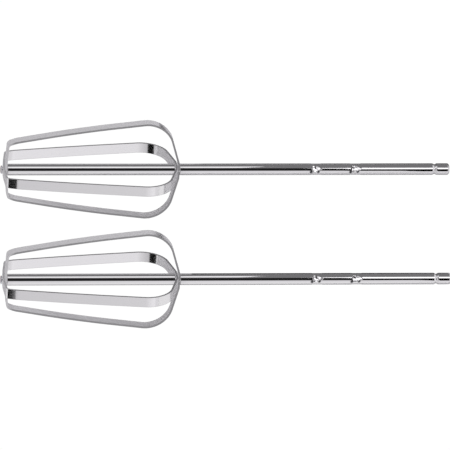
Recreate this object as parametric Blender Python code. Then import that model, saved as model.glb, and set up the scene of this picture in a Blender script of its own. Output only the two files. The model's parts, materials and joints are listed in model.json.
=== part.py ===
# A matched pair of flat-blade beaters for a hand mixer, lying side by side.
# Lengths are in metres. Each beater is modelled along its own +X, from the tip of
# the cage at 0 to the drive end, under an empty that lays it on the floor, z = 0.
import math

import bmesh
import bpy
from mathutils import Matrix, Vector

# Overall
overallLength = 0.195
pairSpacing = 0.0499
pairStagger = 0.0018
fitGap = 0.0002

# Shaft
shaftDiameter = 0.005
tenonDiameter = 0.0024
headDiameter = 0.0036
headHeight = 0.00085
endChamfer = 0.0006
hubGrooveDiameter = 0.0030
catchGrooveCentre = 0.1886
catchGrooveWidth = 0.0018
catchGrooveDepth = 0.0004

# Drive ears, pinched out of the shaft at two stations
earStations = (0.1369, 0.1541)
earLength = 0.0043
earCrestLength = 0.0026
earReach = 0.0036
earRootWidth = 0.0030
earCrestWidth = 0.0015
earPoint = 0.45
earTurn = math.radians(107.0)
pinchDepth = 0.0003
pinchLength = 0.0044

# Blade strips
stripWidth = 0.0045
stripThickness = 0.0008
stripEdgeRound = 0.00015
bottomRadius = 0.0126
upperInnerSlope = math.radians(3.6)
lowerInnerSlope = math.radians(6.0)
upperOuterSlope = math.radians(5.0)
lowerOuterSlope = math.radians(7.8)
bottomBend = 0.058
cornerBend = 0.0020
outerStripExtra = 0.0009
heelPosition = 0.0068
heelRadius = 0.0141
heelBend = 0.022
sideBreak = 0.034
sideBend = 0.5
sideAngle = math.radians(6.9)
cageRadius = 0.02245
shoulderBend = 0.0118
hubPosition = 0.0775
upperHubLean = math.radians(16.8)
lowerHubLean = math.radians(14.2)
hubTabReach = 0.0033
hubTabBend = 0.0016
hubSeam = 0.0003
bladeAngle = math.radians(45.0)

# Finish of each piece
chromeShaft = (0.74, 0.74, 0.76)
chromeBlade = (0.80, 0.80, 0.82)


def clearScene():
    for item in list(bpy.data.objects):
        bpy.data.objects.remove(item, do_unlink=True)


def metal(name, colour, roughness):
    material = bpy.data.materials.new(name)
    material.use_nodes = True
    shader = material.node_tree.nodes["Principled BSDF"]
    shader.inputs["Base Color"].default_value = (*colour, 1.0)
    shader.inputs["Metallic"].default_value = 1.0
    shader.inputs["Roughness"].default_value = roughness
    return material


def addObject(name, bm, parent, material=None):
    mesh = bpy.data.meshes.new(name)
    bm.to_mesh(mesh)
    bm.free()
    item = bpy.data.objects.new(name, mesh)
    bpy.context.scene.collection.objects.link(item)
    item.parent = parent
    if material is not None:
        mesh.materials.append(material)
    return item


def asGuide(item):
    item.hide_render = True
    item.display_type = "WIRE"
    return item


def smoothRound(item, degrees):
    item.data.shade_smooth()
    item.data.set_sharp_from_angle(angle=math.radians(degrees))


def addBoolean(item, guide, operation):
    step = item.modifiers.new(guide.name, "BOOLEAN")
    step.operation = operation
    step.solver = "EXACT"
    step.object = guide


def roundedPath(corners, bends, steps):
    # Points along a line through the corners, each turned with its own bend radius,
    # or with less where the neighbouring corners leave no room for it.
    points = [Vector(corners[0])]
    for index in range(1, len(corners) - 1):
        here = Vector(corners[index])
        back = Vector(corners[index - 1]) - here
        ahead = Vector(corners[index + 1]) - here
        half = back.angle(ahead) / 2.0
        room = min(back.length, ahead.length) * 0.49
        reach = min(bends[index] / math.tan(half), room)
        back.normalize()
        ahead.normalize()
        centre = here + (back + ahead).normalized() * (reach / math.cos(half))
        start = here + back * reach - centre
        finish = here + ahead * reach - centre
        sweep = start.angle(finish)
        for step in range(steps[index] + 1):
            share = step / steps[index]
            arm = start * math.sin(sweep * (1.0 - share)) + finish * math.sin(sweep * share)
            points.append(centre + arm / math.sin(sweep))
    points.append(Vector(corners[-1]))
    return points


def stackFace(layer):
    # Outer face, on the axis, of the outer strip (layer 0) and the inner one (layer 1).
    return headHeight + fitGap + layer * (stripThickness + fitGap)


def sideCorners(layer, middleX, slope, lean):
    # One blade's corners from the hub to the bottom, on the side where y is positive.
    hubX = hubPosition + (layer - 1) * (stripThickness + fitGap)
    cornerY = bottomRadius + (1 - layer) * outerStripExtra
    cornerX = middleX + cornerY * math.tan(slope)
    halfTurn = (math.pi / 2.0 + sideAngle - lean) / 2.0
    lift = shoulderBend * (math.sin(halfTurn + lean) / math.cos(halfTurn) - 1.0)
    shoulderY = cageRadius + lift
    shoulderX = hubX - (shoulderY - hubTabReach) * math.tan(lean)
    breakY = shoulderY - (shoulderX - sideBreak) * math.tan(sideAngle)
    return [
        (hubX, hubSeam / 2.0),
        (hubX, hubTabReach),
        (shoulderX, shoulderY),
        (sideBreak, breakY),
        (heelPosition, heelRadius + cornerY - bottomRadius),
        (cornerX, cornerY),
    ]


def stripPath(layer):
    # The outer face of one strip in its own plane: x along the shaft, y outward.
    # The strip's upper blade is on the side that lies uppermost.
    upper = (upperInnerSlope if layer == 1 else upperOuterSlope, upperHubLean)
    lower = (lowerInnerSlope if layer == 1 else lowerOuterSlope, lowerHubLean)
    first, second = (upper, lower) if layer == 1 else (lower, upper)
    meanSlope = (first[0] + second[0]) / 2.0
    skew = (first[0] - second[0]) / 2.0
    middleX = stackFace(layer) - bottomBend * (math.cos(skew) / math.cos(meanSlope) - 1.0)
    side = sideCorners(layer, middleX, *first)
    otherSide = sideCorners(layer, middleX, *second)
    bends = [0.0, hubTabBend, shoulderBend, sideBend, heelBend, cornerBend]
    steps = [0, 3, 14, 6, 3, 7]
    corners = side + [(middleX, 0.0)] + [(x, -y) for x, y in reversed(otherSide)]
    bends = bends + [bottomBend] + bends[::-1]
    steps = steps + [6] + steps[::-1]
    return roundedPath(corners, bends, steps)


def restOnFloor():
    # The shaft's slope and the tip's height when the cage and the drive end touch z = 0.
    endX = overallLength - endChamfer
    endDrop = shaftDiameter / 2.0
    slope = 0.0
    for layer in (0, 1):
        for point in stripPath(layer):
            drop = abs(point.y) * math.sin(bladeAngle) + stripWidth / 2.0 * math.cos(bladeAngle)
            slope = max(slope, math.atan2(drop - endDrop, endX - point.x))
    return slope, endX * math.sin(slope) + endDrop * math.cos(slope)


def shaftProfile():
    # Half outline from the tip to the drive end: x along the axis, y the radius.
    radius = shaftDiameter / 2.0
    groove = hubGrooveDiameter / 2.0
    seat = stackFace(2)
    firstTab = hubPosition - 2.0 * (stripThickness + fitGap)
    lastTab = hubPosition + fitGap
    catchStart = catchGrooveCentre - catchGrooveWidth / 2.0
    points = []
    for step in range(6):
        turn = math.pi / 2.0 * step / 6.0
        points.append((headHeight * 0.8 * (1.0 - math.cos(turn)), headDiameter / 2.0 * math.sin(turn)))
    points += [
        (headHeight * 0.8, headDiameter / 2.0),
        (headHeight, headDiameter / 2.0),
        (headHeight, tenonDiameter / 2.0),
        (seat, tenonDiameter / 2.0),
        (seat, radius),
        (firstTab, radius),
        (firstTab, groove),
        (lastTab, groove),
        (lastTab, radius),
    ]
    for step in range(9):
        turn = math.pi * step / 8.0
        dip = catchGrooveDepth * math.sin(turn)
        points.append((catchStart + catchGrooveWidth * step / 8.0, radius - dip))
    points += [
        (overallLength - endChamfer, radius),
        (overallLength, radius - endChamfer),
        (overallLength, 0.0),
    ]
    return points


def addTurnedRod(name, parent, material):
    bm = bmesh.new()
    ring = [bm.verts.new((x, y, 0.0)) for x, y in shaftProfile()]
    edges = [bm.edges.new(pair) for pair in zip(ring, ring[1:])]
    bmesh.ops.spin(
        bm,
        geom=ring + edges,
        cent=(0.0, 0.0, 0.0),
        axis=(1.0, 0.0, 0.0),
        angle=math.tau,
        steps=32,
        use_merge=True,
    )
    bmesh.ops.remove_doubles(bm, verts=bm.verts, dist=0.000001)
    bmesh.ops.recalc_face_normals(bm, faces=bm.faces)
    return addObject(name, bm, parent, material)


def addEarGuide(name, parent, station, side):
    # A ridge, blunt towards the cage and pointed towards the drive end.
    root = shaftDiameter / 2.0 * 0.7
    bm = bmesh.new()
    bmesh.ops.create_cube(bm, size=1.0)
    for vert in bm.verts:
        crest = vert.co.y > 0.0
        vert.co.x *= earCrestLength if crest else earLength
        vert.co.z *= earCrestWidth if crest else earRootWidth
        vert.co.z *= earPoint if vert.co.x > 0.0 else 1.0
        vert.co.y = earReach if crest else root
    top = [edge for edge in bm.edges if min(vert.co.y for vert in edge.verts) > root]
    bmesh.ops.bevel(bm, geom=top, offset=0.0002, segments=2, profile=0.5, affect="EDGES")
    bmesh.ops.translate(bm, verts=bm.verts, vec=(station, 0.0, 0.0))
    turn = Matrix.Rotation(side + earTurn, 4, "X")
    bmesh.ops.transform(bm, matrix=turn, verts=bm.verts)
    return asGuide(addObject(name, bm, parent))


def addPinchGuide(name, parent, station, side):
    # A block that flattens the shaft between its two ears.
    floor = shaftDiameter / 2.0 - pinchDepth
    bm = bmesh.new()
    bmesh.ops.create_cube(bm, size=1.0)
    for vert in bm.verts:
        outside = vert.co.y > 0.0
        vert.co.x *= pinchLength + 0.002 if outside else pinchLength
        vert.co.z *= shaftDiameter
        vert.co.y = shaftDiameter if outside else floor
    bmesh.ops.translate(bm, verts=bm.verts, vec=(station, 0.0, 0.0))
    turn = Matrix.Rotation(side + earTurn + math.pi / 2.0, 4, "X")
    bmesh.ops.transform(bm, matrix=turn, verts=bm.verts)
    return asGuide(addObject(name, bm, parent))


def addShaft(name, parent):
    shaft = addTurnedRod(name, parent, metal(name, chromeShaft, 0.12))
    for number, station in enumerate(earStations):
        for side, label in ((0.0, "a"), (math.pi, "b")):
            tag = f"{name}_{number}{label}"
            addBoolean(shaft, addPinchGuide(f"pinch_{tag}", parent, station, side), "DIFFERENCE")
            addBoolean(shaft, addEarGuide(f"ear_{tag}", parent, station, side), "UNION")
    smoothRound(shaft, 30.0)
    return shaft


def addHoleGuide(name, parent, diameter, start, finish):
    bm = bmesh.new()
    bmesh.ops.create_cone(
        bm,
        cap_ends=True,
        segments=32,
        radius1=diameter / 2.0,
        radius2=diameter / 2.0,
        depth=finish - start,
    )
    halfSide = Matrix.Rotation(math.pi / 32.0, 4, "Z")
    bmesh.ops.transform(bm, matrix=Matrix.Rotation(math.pi / 2.0, 4, "Y") @ halfSide, verts=bm.verts)
    bmesh.ops.translate(bm, verts=bm.verts, vec=((start + finish) / 2.0, 0.0, 0.0))
    return asGuide(addObject(name, bm, parent))


def addBlade(name, parent, layer):
    # One strip: up from the hub, across under the head, and back to the hub.
    turn = bladeAngle if layer == 1 else -bladeAngle
    bm = bmesh.new()
    spine = [bm.verts.new((p.x, p.y, -stripWidth / 2.0)) for p in stripPath(layer)]
    edges = [bm.edges.new(pair) for pair in zip(spine, spine[1:])]
    grown = bmesh.ops.extrude_edge_only(bm, edges=edges)
    moved = [part for part in grown["geom"] if isinstance(part, bmesh.types.BMVert)]
    bmesh.ops.translate(bm, verts=moved, vec=(0.0, 0.0, stripWidth))
    bmesh.ops.recalc_face_normals(bm, faces=bm.faces)
    bm.faces.ensure_lookup_table()
    tipFace = min(bm.faces, key=lambda face: face.calc_center_median().x)
    if tipFace.normal.x > 0.0:
        bmesh.ops.reverse_faces(bm, faces=bm.faces)
    bmesh.ops.transform(bm, matrix=Matrix.Rotation(turn, 4, "X"), verts=bm.verts)
    blade = addObject(name, bm, parent, metal(name, chromeBlade, 0.16))
    wall = blade.modifiers.new("wall", "SOLIDIFY")
    wall.thickness = stripThickness
    wall.offset = -1.0
    wall.use_even_offset = True
    edge = blade.modifiers.new("edge", "BEVEL")
    edge.width = stripEdgeRound
    edge.segments = 2
    edge.limit_method = "ANGLE"
    edge.angle_limit = math.radians(60.0)
    eye = addHoleGuide(f"eye_{name}", parent, tenonDiameter + 2.0 * fitGap, -0.001, 0.006)
    throat = hubGrooveDiameter + 2.0 * fitGap
    fork = addHoleGuide(
        f"fork_{name}", parent, throat, hubPosition - 0.003, hubPosition + 0.003
    )
    addBoolean(blade, eye, "DIFFERENCE")
    addBoolean(blade, fork, "DIFFERENCE")
    smoothRound(blade, 30.0)
    return blade


def addBeater(name, along, across):
    slope, tipHeight = restOnFloor()
    empty = bpy.data.objects.new(f"{name}_place", None)
    bpy.context.scene.collection.objects.link(empty)
    endOverhang = (shaftDiameter / 2.0 - endChamfer) * math.sin(slope)
    halfSpan = (overallLength * math.cos(slope) + endOverhang) / 2.0
    empty.location = (along - halfSpan, across, tipHeight)
    empty.rotation_euler = (0.0, slope, 0.0)
    addShaft(f"{name}_shaft", empty)
    addBlade(f"{name}_inner_blade", empty, 1)
    addBlade(f"{name}_outer_blade", empty, 0)


clearScene()
addBeater("rear_beater", pairStagger / 2.0, pairSpacing / 2.0)
addBeater("front_beater", -pairStagger / 2.0, -pairSpacing / 2.0)
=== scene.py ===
import json
import math

import bmesh
import bpy
from mathutils import Matrix, Vector


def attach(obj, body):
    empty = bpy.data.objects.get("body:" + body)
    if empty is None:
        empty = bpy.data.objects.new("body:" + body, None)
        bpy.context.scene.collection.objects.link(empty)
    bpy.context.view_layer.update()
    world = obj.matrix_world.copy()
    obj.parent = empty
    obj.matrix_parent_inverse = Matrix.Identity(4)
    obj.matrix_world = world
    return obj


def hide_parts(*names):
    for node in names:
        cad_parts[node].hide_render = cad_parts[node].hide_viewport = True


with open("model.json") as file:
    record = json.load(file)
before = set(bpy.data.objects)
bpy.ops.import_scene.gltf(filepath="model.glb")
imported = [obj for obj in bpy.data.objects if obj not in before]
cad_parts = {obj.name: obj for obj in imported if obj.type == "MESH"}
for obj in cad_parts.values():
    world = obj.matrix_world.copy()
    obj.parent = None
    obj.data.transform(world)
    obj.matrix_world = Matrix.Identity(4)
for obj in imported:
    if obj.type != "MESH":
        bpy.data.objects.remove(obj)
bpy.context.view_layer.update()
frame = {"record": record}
print("frame loaded")

# How far apart touching pieces stay
fitGap = 0.0002
bladeTurn = math.radians(45.0)


# Meshes

def newPiece(name, bm):
    mesh = bpy.data.meshes.new(name)
    bm.to_mesh(mesh)
    bm.free()
    piece = bpy.data.objects.new(name, mesh)
    bpy.context.scene.collection.objects.link(piece)
    return piece


def settle(piece):
    # Bakes the piece's modifiers into its mesh.
    bpy.context.view_layer.update()
    seen = piece.evaluated_get(bpy.context.evaluated_depsgraph_get())
    solid = bpy.data.meshes.new_from_object(seen)
    old = piece.data
    piece.modifiers.clear()
    piece.data = solid
    bpy.data.meshes.remove(old)
    solid.name = piece.name


def roundCorner(bm, vert, reach, segments):
    bmesh.ops.bevel(
        bm, geom=[vert], offset=reach, offset_type="OFFSET", segments=segments,
        profile=0.5, affect="VERTICES", material=-1, clamp_overlap=False,
    )


def beaterPlace(side):
    # Where a beater's tip is, with +X along its shaft.
    mount = next(item for item in frame["record"]["mounts"] if item["name"] == side + "_drive_end")
    along = Vector(mount["axis"]).normalized()
    across = Vector((0.0, 1.0, 0.0))
    up = along.cross(across)
    turn = Matrix((along, across, up)).transposed().to_4x4()
    return Matrix.Translation(Vector(mount["pos_m"]) - along * shaftLook["length"]) @ turn


# Lengths are in metres, and places along the shaft are counted from the tip.
shaftLook = {
    "length": 0.195,
    "radius": 0.0025,
    "tenonRadius": 0.0012,
    "headRadius": 0.0018,
    "headHeight": 0.00085,
    "shoulder": 0.00305,
    "hubGroove": (0.0755, 0.0777),
    "hubGrooveRadius": 0.0015,
    "catchGroove": 0.1886,
    "catchWidth": 0.0018,
    "catchDepth": 0.00042,
    "endChamfer": 0.0006,
    "facets": 160,
    "tint": (0.80, 0.786, 0.806, 1.0),
    "deepTint": (0.62, 0.605, 0.625, 1.0),
    # Colour of the painted shade at the ear roots, and of the dark spots on the struck ears
    "rootShadeAndDentTint": (0.05, 0.05, 0.055, 1.0),
    "glancingTint": (0.35, 0.345, 0.355, 1.0),
    "polish": 0.03,
    "rough": {"film": 0.02, "lines": 0.02, "stain": 0.10, "rubbed": 0.04, "ear": 0.16},
    "bumps": {"lines": 0.01, "ripple": 0.08, "ear": 13.0},
    "bumpDepth": 0.00004,
    "lineDensity": (25.0, 5200.0, 5200.0),
    "rippleDensity": 260.0,
    "filmDensity": 70.0,
    "dentDensity": 650.0,
    "dentEdge": (0.46, 0.62),
    "dentMark": 0.6,
    "tipStain": (0.0028, 0.0062),
    # Where a mark comes in and where it goes out again
    "hubStain": (0.0725, 0.0752, 0.0778, 0.0815),
    "rubbedRun": (0.128, 0.134, 0.158, 0.166),
    "stainTint": 0.35,
    "filmTint": 0.12,
    "ringGaps": (0.0005, 0.0006),
    "ringStep": 0.0002,
}


def turnedRod():
    # Half the rod's outline, with its corners eased, then a full spin.
    # Each corner has its x, its distance from the axis and how far it is eased.
    look = shaftLook
    radius = look["radius"]
    headRadius = look["headRadius"]
    headHeight = look["headHeight"]
    grooveStart, grooveEnd = look["hubGroove"]
    catchStart = look["catchGroove"] - look["catchWidth"] / 2.0
    catchEnd = look["catchGroove"] + look["catchWidth"] / 2.0
    outline = [
        (0.0, 0.0, 0.0),
        (0.00002, headRadius * 0.62, 0.00045),
        (headHeight * 0.55, headRadius, 0.0003),
        (headHeight, headRadius, 0.00008),
        (headHeight, look["tenonRadius"], 0.0),
        (look["shoulder"], look["tenonRadius"], 0.0),
        (look["shoulder"], radius, 0.00018),
        (grooveStart, radius, 0.00012),
        (grooveStart, look["hubGrooveRadius"], 0.0),
        (grooveEnd, look["hubGrooveRadius"], 0.0),
        (grooveEnd, radius, 0.00012),
        (catchStart, radius, 0.00018),
        (look["catchGroove"], radius - look["catchDepth"] * 1.25, 0.00028),
        (catchEnd, radius, 0.00018),
        (look["length"] - look["endChamfer"], radius, 0.0002),
        (look["length"], radius - look["endChamfer"], 0.0002),
        (look["length"], 0.0, 0.0),
    ]
    bm = bmesh.new()
    chain = [bm.verts.new((x, away, 0.0)) for x, away, _ in outline]
    for pair in zip(chain, chain[1:]):
        bm.edges.new(pair)
    for vert, (_, _, reach) in zip(chain, outline):
        if reach > 0.0:
            roundCorner(bm, vert, reach, 5)
    # Rings close to each corner keep the long runs shading straight.
    near, far = look["ringGaps"]
    rings = [
        look["shoulder"] + far, grooveStart - near, grooveEnd + near,
        catchStart - far, catchEnd + near, look["length"] - look["endChamfer"] - near,
    ]
    reach = earLook["reach"]
    outer = reach + look["ringStep"]
    for station in earLook["stations"]:
        rings += [station - outer, station - reach, station + reach, station + outer]
    for ring in rings:
        everything = bm.verts[:] + bm.edges[:]
        bmesh.ops.bisect_plane(bm, geom=everything, dist=1e-7, plane_co=(ring, 0, 0), plane_no=(1, 0, 0))
    for station in earLook["stations"]:
        # The run under an ear is cut fine, so that the ear can rise from it.
        fine = [
            edge for edge in bm.edges
            if abs((edge.verts[0].co.x + edge.verts[1].co.x) / 2.0 - station) < reach / 2.0
            and edge.calc_length() > reach
        ]
        bmesh.ops.subdivide_edges(bm, edges=fine, cuts=earLook["cuts"])
    everything = bm.verts[:] + bm.edges[:]
    bmesh.ops.spin(
        bm, geom=everything, cent=(0, 0, 0), axis=(1, 0, 0), angle=math.tau,
        steps=look["facets"], use_merge=True,
    )
    bmesh.ops.remove_doubles(bm, verts=bm.verts, dist=1e-6)
    bmesh.ops.recalc_face_normals(bm, faces=bm.faces)
    return bm


earLook = {
    "stations": (0.1369, 0.1541),
    "reach": 0.0034,
    "cuts": 50,
    # The ends, the ridge and the painted shadow spots are counted from the station.
    "turn": math.radians(108.0),
    "bluntEnd": 0.0021,
    "ridge": -0.0004,
    "pointEnd": 0.0024,
    "bluntHeight": 0.00105,
    "ridgeHeight": 0.00086,
    "halfWidth": 0.00106,
    "pointHalfWidth": 0.0002,
    "pinch": 0.00008,
    "pinchHalfLength": 0.0026,
    "shadowSpots": (-0.0023, 0.0009),
    "shadowSpotSize": 0.0006,
    # How dark the painted shade along each ear's root is
    "paintedRootShade": 0.55,
}


def ease(value):
    value = min(max(value, 0.0), 1.0)
    return value * value * (3.0 - 2.0 * value)


def earHeight(x):
    # A wedge: blunt and tall on the cage side, down to nothing on the drive side.
    look = earLook
    if x < look["ridge"]:
        run = (x + look["bluntEnd"]) / (look["ridge"] + look["bluntEnd"])
        height = look["bluntHeight"] + (look["ridgeHeight"] - look["bluntHeight"]) * run
    else:
        height = look["ridgeHeight"] * (look["pointEnd"] - x) / (look["pointEnd"] - look["ridge"])
    return max(height, 0.0) * ease((x + look["bluntEnd"]) / 0.0003)


def pinchEars(bm):
    # Squeezes the rod from two sides, so that an ear rises on the other two.
    radius = shaftLook["radius"]
    look = earLook
    shadeLayer = bm.verts.layers.float.new("paintedRootShade")
    struck = bm.verts.layers.float.new("struckEar")
    for vert in bm.verts:
        reach = math.hypot(vert.co.y, vert.co.z)
        if reach < radius * 0.9:
            continue
        for station in look["stations"]:
            x = vert.co.x - station
            if abs(x) > look["reach"]:
                continue
            angle = math.atan2(vert.co.z, vert.co.y) - look["turn"]
            angle = (angle + math.pi / 2.0) % math.pi - math.pi / 2.0
            flat = look["pinch"] * ease((look["pinchHalfLength"] - abs(x)) / 0.0007)
            grown = min(radius, (radius - flat) / max(abs(math.sin(angle)), 0.2))
            run = min(max((x + look["bluntEnd"]) / (look["bluntEnd"] + look["pointEnd"]), 0.0), 1.0)
            halfWidth = look["halfWidth"] + (look["pointHalfWidth"] - look["halfWidth"]) * run ** 3.0
            across = angle * radius
            crest = (radius + earHeight(x)) / math.cos(min(abs(angle), 0.8))
            if earHeight(x) > 0.0:
                rise = ease((halfWidth - abs(across)) / 0.00022 + 0.5)
                grown += (crest - grown) * rise
                vert[struck] = rise
            # Painted shade: a dark band along each ear's root and two dark spots beside it, kept in a
            # vertex layer.
            root = abs(across - halfWidth - 0.00026) / 0.00036
            along = ease((x + look["bluntEnd"] + 0.0006) / 0.0004) * ease((0.0016 - x) / 0.0012)
            mark = look["paintedRootShade"] * along * ease(1.0 - root)
            for spot in look["shadowSpots"]:
                away = math.hypot(x - spot, (across - halfWidth - 0.0003) * 0.8) / look["shadowSpotSize"]
                mark = max(mark, ease(1.5 - away))
            vert[shadeLayer] = mark
            vert.co.y *= grown / reach
            vert.co.z *= grown / reach


def makeShaft(name, place):
    bm = turnedRod()
    pinchEars(bm)
    bmesh.ops.transform(bm, matrix=place, verts=bm.verts)
    piece = newPiece(name, bm)
    piece.data.shade_smooth()
    piece.data.set_sharp_from_angle(angle=math.radians(42.0))
    return piece


# In firstFaces and the slopes the outer strip comes first, then the inner one.
bladeLook = {
    "width": 0.0045,
    "thickness": 0.0008,
    "edgeRound": 0.00018,
    "firstFaces": (0.00100, 0.00205),
    "bottomRadius": 0.0126,
    "outerExtra": 0.0009,
    "upperSlopes": (math.radians(2.8), math.radians(3.6)),
    "lowerSlopes": (math.radians(8.6), math.radians(6.0)),
    "bottomBend": 0.058,
    "cornerBend": 0.0020,
    "heel": (0.0062, 0.01399),
    "heelBend": 0.012,
    "sideBreak": 0.034,
    "sideBend": 0.5,
    "sideAngle": math.radians(6.9),
    "cageRadius": 0.02245,
    "shoulderBend": 0.0118,
    "hub": 0.0775,
    "upperLean": math.radians(16.8),
    "lowerLean": math.radians(14.2),
    "tabReach": 0.0033,
    "tabBend": 0.0016,
    "seam": 0.0003,
    "tenonPeg": (-0.001, 0.006),
    "neckPeg": (0.0745, 0.0805),
    "pegFacets": 72,
    "pegTurn": 0.02,
    "tint": (0.81, 0.797, 0.814, 1.0),
    "deepTint": (0.68, 0.668, 0.684, 1.0),
    "edgeTint": (0.33, 0.325, 0.335, 1.0),
    "glancingTint": (0.9, 0.89, 0.905, 1.0),
    "polish": 0.09,
    "rough": {"film": 0.05, "lines": 0.05, "stain": 0.06, "sheared": 0.22},
    "bumps": {"lines": 0.5, "ripple": 1.0},
    "bumpStrength": 0.12,
    "bumpDepth": 0.00005,
    "lineDensity": (45.0, 4200.0, 1.0),
    "rippleDensity": 190.0,
    "filmDensity": 60.0,
    "hubStain": (0.0735, 0.0765),
    "tipStain": (0.0014, 0.0036),
    "stainTint": 0.2,
    "lineTint": 0.15,
    "shearedEdge": (0.00209, 0.00222),
    "shearedRun": (0.003, 0.0065),
}


def sideCorners(layer, middleX, slope, lean):
    # One blade's outer face, hub to bottom: x, distance from the shaft, bend, segments.
    look = bladeLook
    pitch = look["thickness"] + fitGap
    hubX = look["hub"] + (layer - 1) * pitch
    extra = (1 - layer) * look["outerExtra"]
    cornerY = look["bottomRadius"] + extra
    halfTurn = (math.pi / 2.0 + look["sideAngle"] - lean) / 2.0
    lift = math.sin(halfTurn + lean) / math.cos(halfTurn) - 1.0
    shoulderY = look["cageRadius"] + look["shoulderBend"] * lift
    shoulderX = hubX - (shoulderY - look["tabReach"]) * math.tan(lean)
    breakY = shoulderY - (shoulderX - look["sideBreak"]) * math.tan(look["sideAngle"])
    heelX, heelY = look["heel"]
    return [
        (hubX, look["seam"] / 2.0, 0.0, 0),
        (hubX, look["tabReach"], look["tabBend"], 4),
        (shoulderX, shoulderY, look["shoulderBend"], 28),
        (look["sideBreak"], breakY, look["sideBend"], 12),
        (heelX, heelY + extra, look["heelBend"], 6),
        (middleX + cornerY * math.tan(slope), cornerY, look["cornerBend"], 12),
    ]


def stripCorners(layer):
    look = bladeLook
    upper = (look["upperSlopes"][layer], look["upperLean"])
    lower = (look["lowerSlopes"][layer], look["lowerLean"])
    first, second = (upper, lower) if layer == 1 else (lower, upper)
    mean = (first[0] + second[0]) / 2.0
    skew = (first[0] - second[0]) / 2.0
    tipX = look["firstFaces"][layer]
    middleX = tipX - look["bottomBend"] * (math.cos(skew) / math.cos(mean) - 1.0)
    half = sideCorners(layer, middleX, *first)
    other = sideCorners(layer, middleX, *second)
    mirrored = [(x, -y, bend, count) for x, y, bend, count in reversed(other)]
    return half + [(middleX, 0.0, look["bottomBend"], 12)] + mirrored


def bentRibbon(layer):
    # A chain through the corners, each bent to its own radius, drawn out to the strip's width.
    look = bladeLook
    corners = stripCorners(layer)
    bm = bmesh.new()
    chain = [bm.verts.new((x, y, -look["width"] / 2.0)) for x, y, _, _ in corners]
    for pair in zip(chain, chain[1:]):
        bm.edges.new(pair)
    points = [Vector(corner[:2]) for corner in corners]
    for index in range(1, len(chain) - 1):
        back = points[index - 1] - points[index]
        ahead = points[index + 1] - points[index]
        half = back.angle(ahead) / 2.0
        room = min(back.length, ahead.length) * 0.49
        reach = min(corners[index][2] / math.tan(half), room)
        roundCorner(bm, chain[index], reach, corners[index][3])
    grown = bmesh.ops.extrude_edge_only(bm, edges=bm.edges[:])
    moved = [part for part in grown["geom"] if isinstance(part, bmesh.types.BMVert)]
    bmesh.ops.translate(bm, verts=moved, vec=(0.0, 0.0, look["width"]))
    bmesh.ops.recalc_face_normals(bm, faces=bm.faces)
    tipFace = min(bm.faces, key=lambda face: face.calc_center_median().x)
    if tipFace.normal.x > 0.0:
        bmesh.ops.reverse_faces(bm, faces=bm.faces)
    return bm


def unrollUv(bm):
    # u runs along the strip and v across it, both in metres.
    layer = bm.loops.layers.uv.new("strip")
    start = min(bm.verts, key=lambda vert: (-vert.co.x, -vert.co.y, vert.co.z))
    bottomEdge = {start: 0.0}
    vert = start
    while True:
        step = next(
            (edge for edge in vert.link_edges
             if edge.other_vert(vert) not in bottomEdge
             and abs(edge.other_vert(vert).co.z - vert.co.z) < 1e-6), None)
        if step is None:
            break
        bottomEdge[step.other_vert(vert)] = bottomEdge[vert] + step.calc_length()
        vert = step.other_vert(vert)
    runs = {(round(low.co.x, 7), round(low.co.y, 7)): run for low, run in bottomEdge.items()}
    for face in bm.faces:
        for loop in face.loops:
            point = loop.vert.co
            run = runs.get((round(point.x, 7), round(point.y, 7)), 0.0)
            loop[layer].uv = (run, point.z)


def pegCutter(diameter, start, end):
    # A round bar along the shaft's axis, to cut the strips' holes.
    bm = bmesh.new()
    bmesh.ops.create_cone(
        bm, cap_ends=True, segments=bladeLook["pegFacets"],
        radius1=diameter / 2.0, radius2=diameter / 2.0, depth=end - start,
    )
    turn = Matrix.Rotation(math.pi / 2.0, 4, "Y") @ Matrix.Rotation(bladeLook["pegTurn"], 4, "Z")
    bmesh.ops.transform(bm, matrix=turn, verts=bm.verts)
    bmesh.ops.translate(bm, verts=bm.verts, vec=((start + end) / 2.0, 0.0, 0.0))
    return newPiece("peg", bm)


def makeBlade(name, place, layer):
    look = bladeLook
    bm = bentRibbon(layer)
    unrollUv(bm)
    for face in bm.faces:
        face.smooth = True
    piece = newPiece(name, bm)
    wall = piece.modifiers.new("wall", "SOLIDIFY")
    wall.thickness = look["thickness"]
    wall.offset = -1.0
    wall.use_even_offset = True
    tenon = pegCutter((shaftLook["tenonRadius"] + fitGap) * 2.0, *look["tenonPeg"])
    neck = pegCutter((shaftLook["hubGrooveRadius"] + fitGap) * 2.0, *look["neckPeg"])
    for peg in (tenon, neck):
        cut = piece.modifiers.new("cut", "BOOLEAN")
        cut.operation = "DIFFERENCE"
        cut.solver = "EXACT"
        cut.object = peg
    edge = piece.modifiers.new("edge", "BEVEL")
    edge.width = look["edgeRound"]
    edge.segments = 3
    edge.limit_method = "ANGLE"
    edge.angle_limit = math.radians(50.0)
    edge.harden_normals = True
    settle(piece)
    for peg in (tenon, neck):
        bpy.data.objects.remove(peg, do_unlink=True)
    turn = Matrix.Rotation(bladeTurn if layer == 1 else -bladeTurn, 4, "X")
    piece.data.transform(place @ turn)
    return piece


# Materials

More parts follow.
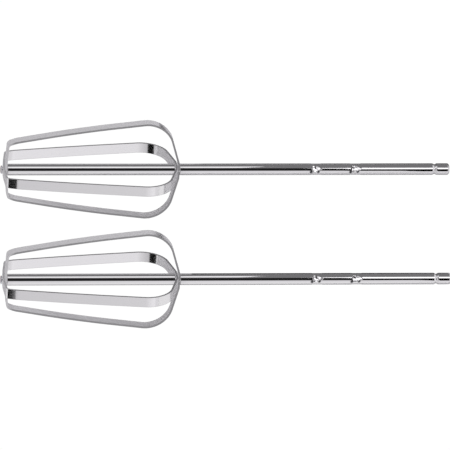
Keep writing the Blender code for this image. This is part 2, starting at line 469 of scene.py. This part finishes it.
class Patch:
    # A socket in a node tree, used in Python expressions.
    def __init__(self, tree, socket=None):
        self.tree = tree
        self.socket = socket

    def node(self, kind, settings, values, output=0):
        made = self.tree.nodes.new(kind)
        for key, value in settings.items():
            setattr(made, key, value)
        for key, value in values.items():
            if isinstance(value, Patch):
                self.tree.links.new(value.socket, made.inputs[key])
            else:
                made.inputs[key].default_value = value
        return Patch(self.tree, made.outputs[output])

    def maths(self, operation, first, second):
        return self.node("ShaderNodeMath", {"operation": operation}, {0: first, 1: second})

    def __add__(self, other):
        return self.maths("ADD", self, other)

    def __radd__(self, other):
        return self.maths("ADD", other, self)

    def __sub__(self, other):
        return self.maths("SUBTRACT", self, other)

    def __rsub__(self, other):
        return self.maths("SUBTRACT", other, self)

    def __mul__(self, other):
        return self.maths("MULTIPLY", self, other)

    def __rmul__(self, other):
        return self.maths("MULTIPLY", other, self)

    def between(self, low, high):
        # 0 below low and 1 above high, eased.
        return self.node(
            "ShaderNodeMapRange", {"interpolation_type": "SMOOTHSTEP"},
            {"Value": self, "From Min": low, "From Max": high})

    def within(self, riseStart, riseEnd, fallStart, fallEnd):
        # 1 from the rise to the fall and 0 elsewhere, eased.
        return self.between(riseStart, riseEnd) * (1.0 - self.between(fallStart, fallEnd))

    def noise(self, points, scale, detail):
        return self.node(
            "ShaderNodeTexNoise", {}, {"Vector": points, "Scale": scale, "Detail": detail})

    def stretched(self, points, density):
        return self.node(
            "ShaderNodeVectorMath", {"operation": "MULTIPLY"}, {0: points, 1: density})

    def blend(self, factor, first, second):
        return self.node(
            "ShaderNodeMix", {"data_type": "RGBA"}, {"Factor": factor, 6: first, 7: second}, 2)


def newMaterial(name, edge):
    material = bpy.data.materials.new(name)
    material.use_nodes = True
    tree = material.node_tree
    shader = tree.nodes["Principled BSDF"]
    shader.inputs["Metallic"].default_value = 1.0
    shader.inputs["Specular Tint"].default_value = edge
    return material, tree, shader


def beaterPoints(maker, place):
    # Points in the beater's own frame, and how far they are along its shaft.
    inverse = place.inverted()
    points = maker.node("ShaderNodeTexCoord", {}, {}, "Object")
    local = maker.node(
        "ShaderNodeMapping", {},
        {"Vector": points, "Location": inverse.translation, "Rotation": inverse.to_euler()})
    x = maker.node("ShaderNodeSeparateXYZ", {}, {"Vector": local}, "X")
    return local, x


def platedShaft(name, place):
    # Bright chrome over a drawn rod: faint lines along it, a soft ripple, dull where pieces meet.
    look = shaftLook
    material, tree, shader = newMaterial(name, look["glancingTint"])
    maker = Patch(tree)
    local, x = beaterPoints(maker, place)
    lines = maker.noise(maker.stretched(local, look["lineDensity"]), 1.0, 3.0)
    ripple = maker.noise(local, look["rippleDensity"], 2.0)
    film = maker.noise(local, look["filmDensity"], 5.0)
    # Dull at the hub and the tip, and rubbed round the ears.
    tipStain = 1.0 - x.between(*look["tipStain"])
    stain = (x.within(*look["hubStain"]) + tipStain) * (0.55 + 0.45 * film)
    rubbed = x.within(*look["rubbedRun"]) * film
    deep = stain * look["stainTint"] + film * look["filmTint"]
    colour = maker.blend(deep, look["tint"], look["deepTint"])
    # Painted shade at the ear roots darkens the colour here, together with dark spots on the struck ears.
    paintedRootShade = maker.node("ShaderNodeAttribute", {"attribute_name": "paintedRootShade"}, {}, "Fac")
    ear = maker.node("ShaderNodeAttribute", {"attribute_name": "struckEar"}, {}, "Fac")
    dents = maker.noise(local, look["dentDensity"], 1.0)
    struck = ear * dents.between(*look["dentEdge"]) * look["dentMark"]
    mark = maker.maths("MAXIMUM", paintedRootShade, struck)
    colour = maker.blend(mark, colour, look["rootShadeAndDentTint"])
    tree.links.new(colour.socket, shader.inputs["Base Color"])
    part = look["rough"]
    rough = look["polish"] + film * part["film"] + lines * part["lines"] + stain * part["stain"]
    rough = rough + rubbed * part["rubbed"] + ear * part["ear"]
    tree.links.new(rough.socket, shader.inputs["Roughness"])
    bumps = look["bumps"]
    height = lines * bumps["lines"] + ripple * bumps["ripple"] + dents * ear * bumps["ear"]
    bump = maker.node(
        "ShaderNodeBump", {}, {"Height": height, "Strength": 1.0, "Distance": look["bumpDepth"]})
    tree.links.new(bump.socket, shader.inputs["Normal"])
    return material


def platedStrip(name, place):
    # Chrome over rolled strip: lines that follow the bends, softer than the shaft.
    look = bladeLook
    material, tree, shader = newMaterial(name, look["glancingTint"])
    maker = Patch(tree)
    local, x = beaterPoints(maker, place)
    uv = maker.node("ShaderNodeUVMap", {"uv_map": "strip"}, {})
    lines = maker.noise(maker.stretched(uv, look["lineDensity"]), 1.0, 4.0)
    ripple = maker.noise(local, look["rippleDensity"], 2.0)
    film = maker.noise(local, look["filmDensity"], 5.0)
    tipStain = 1.0 - x.between(*look["tipStain"])
    stain = (x.between(*look["hubStain"]) + tipStain) * (0.5 + 0.5 * film)
    deep = stain * look["stainTint"] + lines * look["lineTint"]
    colour = maker.blend(deep, look["tint"], look["deepTint"])
    # The cut edges are darker, less so near the tip.
    across = maker.node("ShaderNodeSeparateXYZ", {}, {"Vector": uv}, "Y")
    sheared = maker.maths("ABSOLUTE", across, 0.0).between(*look["shearedEdge"])
    edged = sheared * (0.8 + 0.4 * film) * (0.25 + 0.75 * x.between(*look["shearedRun"]))
    colour = maker.blend(edged, colour, look["edgeTint"])
    tree.links.new(colour.socket, shader.inputs["Base Color"])
    part = look["rough"]
    rough = look["polish"] + lines * part["lines"] + film * part["film"]
    rough = rough + stain * part["stain"] + sheared * part["sheared"]
    tree.links.new(rough.socket, shader.inputs["Roughness"])
    bumps = look["bumps"]
    height = lines * bumps["lines"] + ripple * bumps["ripple"]
    bump = maker.node(
        "ShaderNodeBump", {},
        {"Height": height, "Strength": look["bumpStrength"], "Distance": look["bumpDepth"]})
    tree.links.new(bump.socket, shader.inputs["Normal"])
    return material


# The two beaters

for side in ("rear", "front"):
    place = beaterPlace(side)
    body = side + "_beater"
    shaft = makeShaft(side + "Shaft", place)
    shaft.data.materials.append(platedShaft(side + "ShaftChrome", place))
    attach(shaft, body)
    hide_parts(body + "_shaft")
    for layer, label in ((1, "inner"), (0, "outer")):
        blade = makeBlade(side + label.capitalize() + "Blade", place, layer)
        blade.data.materials.clear()
        blade.data.materials.append(platedStrip(side + label.capitalize() + "BladeChrome", place))
        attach(blade, body)
        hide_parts(body + "_" + label + "_blade")
        blade.visible_glossy = False
        blade.visible_shadow = False
    # The chrome shows the studio and not the other pieces.
    shaft.visible_glossy = False
    print("made the", side, "beater")


# Studio

studioLook = {
    "cameraElevation": math.radians(71.1),
    "cameraAzimuth": math.radians(2.38),
    "cameraDistance": 3.5,
    "lens": 650.8,
    "aim": (0.0, 0.0, 0.015),
    "aimRight": -0.00033,
    "aimUp": -0.00087,
    "floorSize": 12.0,
    "floorTone": 0.73,
    "floorGlow": 1.02,
    "floorDrop": 0.0002,
    # Left, right, near and far edges
    "cards": (
        (-0.008, 0.110, 0.027, 0.085),
        (-2.0, 2.0, 0.22, 5.0),
    ),
    "cardTone": 0.10,
    "cardDrop": 0.0001,
    "shaftCard": {"from": 0.084, "to": 0.196, "behind": 0.012, "top": 0.001, "drop": 0.013, "tone": 0.05},
    "frontCard": (-2.0, 2.0, -5.0, -0.040),
    "frontCardTone": 0.92,
    # Left and right edges, place in y and height
    "standingCards": (
        (-0.262, -0.148, -0.142, 0.12),
        (-0.310, -0.153, -0.190, 0.14),
    ),
    "topLight": {"energy": 24.0, "size": 3.0, "height": 2.0},
    "sky": {
        "frontTone": 0.78,
        "frontLean": 0.37,
        "frontEnd": (0.17, 0.262),
        "rearTone": 0.195,
        "rearStart": (0.495, 0.52),
        "sideTone": 0.78,
        "sideLean": 0.1,
        "sideStart": (0.50, 0.62),
        "leastTone": 0.015,
    },
    # Angles go over the top in degrees, from 0 in front to 180 behind.
    "panelLean": 0.24,
    "panelHeight": 0.012,
    "leftBox": {
        "angle": 116.0, "spread": 0.21, "reach": 0.40,
        "from": -0.30, "to": 0.009, "radiance": 0.85,
    },
    "middleBox": {
        "angle": 91.0, "spread": 0.075, "reach": 0.40,
        "from": 0.046, "to": 0.070, "radiance": 1.3,
    },
    "flag": {
        "angle": 51.0, "spread": 0.17, "reach": 0.36,
        "from": 0.050, "to": 0.30, "radiance": 0.0,
    },
    "lowFlag": {
        "angle": 36.0, "spread": 0.16, "reach": 0.36,
        "from": 0.073, "to": 0.30, "radiance": 0.0,
    },
    "rightBox": {
        "angle": 86.0, "spread": 0.19, "reach": 0.40,
        "from": 0.063, "to": 0.40, "radiance": 1.7,
    },
}


def addCamera(look):
    elevation = look["cameraElevation"]
    azimuth = look["cameraAzimuth"]
    ahead = Vector((
        math.cos(elevation) * math.sin(azimuth),
        math.cos(elevation) * math.cos(azimuth),
        -math.sin(elevation),
    ))
    right = Vector((math.cos(azimuth), -math.sin(azimuth), 0.0))
    up = right.cross(ahead)
    aim = Vector(look["aim"]) + right * look["aimRight"] + up * look["aimUp"]
    lens = bpy.data.cameras.new("camera")
    lens.lens = look["lens"]
    lens.sensor_width = 36.0
    lens.clip_end = 100.0
    camera = bpy.data.objects.new("camera", lens)
    camera.matrix_world = Matrix.Translation(aim - ahead * look["cameraDistance"]) @ (
        Matrix((right, up, -ahead)).transposed().to_4x4())
    bpy.context.scene.collection.objects.link(camera)
    bpy.context.scene.camera = camera


def addFloor(look):
    bm = bmesh.new()
    bmesh.ops.create_grid(bm, x_segments=1, y_segments=1, size=look["floorSize"] / 2.0)
    bmesh.ops.translate(bm, verts=bm.verts, vec=(0.0, 0.0, -look["floorDrop"]))
    floor = newPiece("floor", bm)
    material = bpy.data.materials.new("paleFloor")
    material.use_nodes = True
    tree = material.node_tree
    tree.nodes.clear()
    maker = Patch(tree)
    tone = look["floorTone"]
    seen = maker.node("ShaderNodeLightPath", {}, {}, "Is Camera Ray")
    bright = maker.node(
        "ShaderNodeEmission", {},
        {"Color": (1.0, 1.0, 1.0, 1.0), "Strength": look["floorGlow"]})
    plain = maker.node("ShaderNodeBsdfDiffuse", {}, {"Color": (tone, tone, tone * 1.01, 1.0)})
    mixed = maker.node("ShaderNodeMixShader", {}, {0: seen, 1: plain, 2: bright})
    end = tree.nodes.new("ShaderNodeOutputMaterial")
    tree.links.new(mixed.socket, end.inputs["Surface"])
    floor.data.materials.append(material)


def addPanel(name, look):
    # A softbox, or a black flag where the radiance is 0, that the shafts see from one x to another.
    angle = math.radians(look["angle"])
    towards = Vector((studioLook["panelLean"], -math.cos(angle), math.sin(angle)))
    start = Vector(((look["from"] + look["to"]) / 2.0, 0.0, studioLook["panelHeight"]))
    middle = start + towards * look["reach"]
    width = look["to"] - look["from"]
    back = Vector((0.0, -math.cos(angle), math.sin(angle)))
    right = Vector((1.0, 0.0, 0.0))
    place = Matrix.Translation(middle) @ Matrix((right, back.cross(right), back)).transposed().to_4x4()
    if look["radiance"] > 0.0:
        light = bpy.data.lights.new(name, "AREA")
        light.shape = "RECTANGLE"
        light.size = width
        light.size_y = look["spread"]
        light.energy = look["radiance"] * math.pi * width * look["spread"]
        item = bpy.data.objects.new(name, light)
        item.matrix_world = place
        item.visible_camera = False
        bpy.context.scene.collection.objects.link(item)
    else:
        addSheet(name, (width, look["spread"]), place, 0.0)


def addSheet(name, size, place, tone, glow=0.0, oneSided=False):
    # A card that only the reflections show.
    bm = bmesh.new()
    bmesh.ops.create_grid(bm, x_segments=1, y_segments=1, size=0.5)
    bmesh.ops.scale(bm, verts=bm.verts, vec=(size[0], size[1], 1.0))
    bmesh.ops.transform(bm, matrix=place, verts=bm.verts)
    sheet = newPiece(name, bm)
    material = bpy.data.materials.new(name + "Card")
    material.use_nodes = True
    shader = material.node_tree.nodes["Principled BSDF"]
    shader.inputs["Base Color"].default_value = (tone, tone, tone, 1.0)
    shader.inputs["Roughness"].default_value = 1.0
    shader.inputs["Specular IOR Level"].default_value = 0.0
    shader.inputs["Emission Color"].default_value = (1.0, 1.0, 1.0, 1.0)
    shader.inputs["Emission Strength"].default_value = glow
    if oneSided:
        away = Patch(material.node_tree).node("ShaderNodeNewGeometry", {}, {}, "Backfacing")
        material.node_tree.links.new((1.0 - away).socket, shader.inputs["Alpha"])
    sheet.data.materials.append(material)
    sheet.visible_camera = False
    sheet.visible_shadow = False
    sheet.visible_diffuse = False


def addCards(look):
    # Dark cards lie behind the shafts, to give their upper edges a line. The nearer one is painted shade:
    # it stands in for the floor's shade close behind the shafts, and only the chrome shows it.
    for index, (left, right, near, far) in enumerate(look["cards"]):
        place = Matrix.Translation(((left + right) / 2.0, (near + far) / 2.0, -look["cardDrop"]))
        addSheet("card%d" % index, (right - left, far - near), place, look["cardTone"])
    # A glowing sheet in front keeps their lower edges light.
    left, right, near, far = look["frontCard"]
    place = Matrix.Translation(((left + right) / 2.0, (near + far) / 2.0, -look["cardDrop"]))
    addSheet("frontCard", (right - left, far - near), place, 0.0, look["frontCardTone"])
    # A dark strip stands close behind the front shaft, and is clear from the other side. It is painted
    # shade, for the shaft's shadow on the floor behind it, and only the chrome shows it.
    strip = look["shaftCard"]
    place = beaterPlace("front") @ Matrix.Translation(
        ((strip["from"] + strip["to"]) / 2.0, strip["behind"], strip["top"] - strip["drop"] / 2.0))
    place = place @ Matrix.Rotation(math.pi / 2.0, 4, "X")
    size = (strip["to"] - strip["from"], strip["drop"])
    addSheet("shaftCard", size, place, strip["tone"], oneSided=True)


def addStandingCards(look):
    # Black cards stand in front on the left, for the dark patches on the blades.
    for index, (left, right, away, height) in enumerate(look["standingCards"]):
        place = Matrix.Translation(((left + right) / 2.0, away, height / 2.0))
        place = place @ Matrix.Rotation(math.pi / 2.0, 4, "X")
        addSheet("standingCard%d" % index, (right - left, height), place, 0.0)


def addTopLight(look):
    # Lights the floor and shows in no reflection.
    light = bpy.data.lights.new("topLight", "AREA")
    light.size = look["size"]
    light.energy = look["energy"]
    item = bpy.data.objects.new("topLight", light)
    item.location = (0.0, 0.0, look["height"])
    item.visible_camera = False
    item.visible_glossy = False
    bpy.context.scene.collection.objects.link(item)


def addWorld(look):
    # Bright in front, black overhead, dim behind, and pale at both ends.
    world = bpy.data.worlds.new("studio")
    bpy.context.scene.world = world
    world.use_nodes = True
    tree = world.node_tree
    tree.nodes.clear()
    maker = Patch(tree)
    direction = maker.node("ShaderNodeTexCoord", {}, {}, "Generated")
    parts = tree.nodes.new("ShaderNodeSeparateXYZ")
    tree.links.new(direction.socket, parts.inputs[0])
    x = Patch(tree, parts.outputs["X"])
    y = Patch(tree, parts.outputs["Y"])
    z = Patch(tree, parts.outputs["Z"])
    # The angle over the top in half turns, from the front horizon (0) to the rear one (1).
    turn = maker.maths("ARCTAN2", z, y * -1.0) * (1.0 / math.pi)
    front = (look["frontTone"] + look["frontLean"] * x) * (1.0 - turn.between(*look["frontEnd"]))
    rear = look["rearTone"] * turn.between(*look["rearStart"])
    sides = maker.maths("ABSOLUTE", x, 0.0).between(*look["sideStart"])
    tone = (look["leastTone"] + front + rear) * (1.0 - sides)
    tone = tone + (look["sideTone"] + look["sideLean"] * x) * sides
    seen = maker.node("ShaderNodeLightPath", {}, {}, "Is Camera Ray")
    shade = maker.node("ShaderNodeCombineXYZ", {}, {"X": tone, "Y": tone * 0.995, "Z": tone * 1.01})
    colour = maker.blend(seen, shade, (1.0, 1.0, 1.0, 1.0))
    light = maker.node("ShaderNodeBackground", {}, {"Color": colour, "Strength": 1.0})
    end = tree.nodes.new("ShaderNodeOutputWorld")
    tree.links.new(light.socket, end.inputs["Surface"])


scene = bpy.context.scene
scene.view_settings.view_transform = "Standard"
addCamera(studioLook)
addFloor(studioLook)
addWorld(studioLook["sky"])
addTopLight(studioLook["topLight"])
addPanel("leftSoftbox", studioLook["leftBox"])
addPanel("middleSoftbox", studioLook["middleBox"])
addPanel("rightSoftbox", studioLook["rightBox"])
addPanel("flag", studioLook["flag"])
addPanel("lowFlag", studioLook["lowFlag"])
addCards(studioLook)
addStandingCards(studioLook)
print("studio ready")
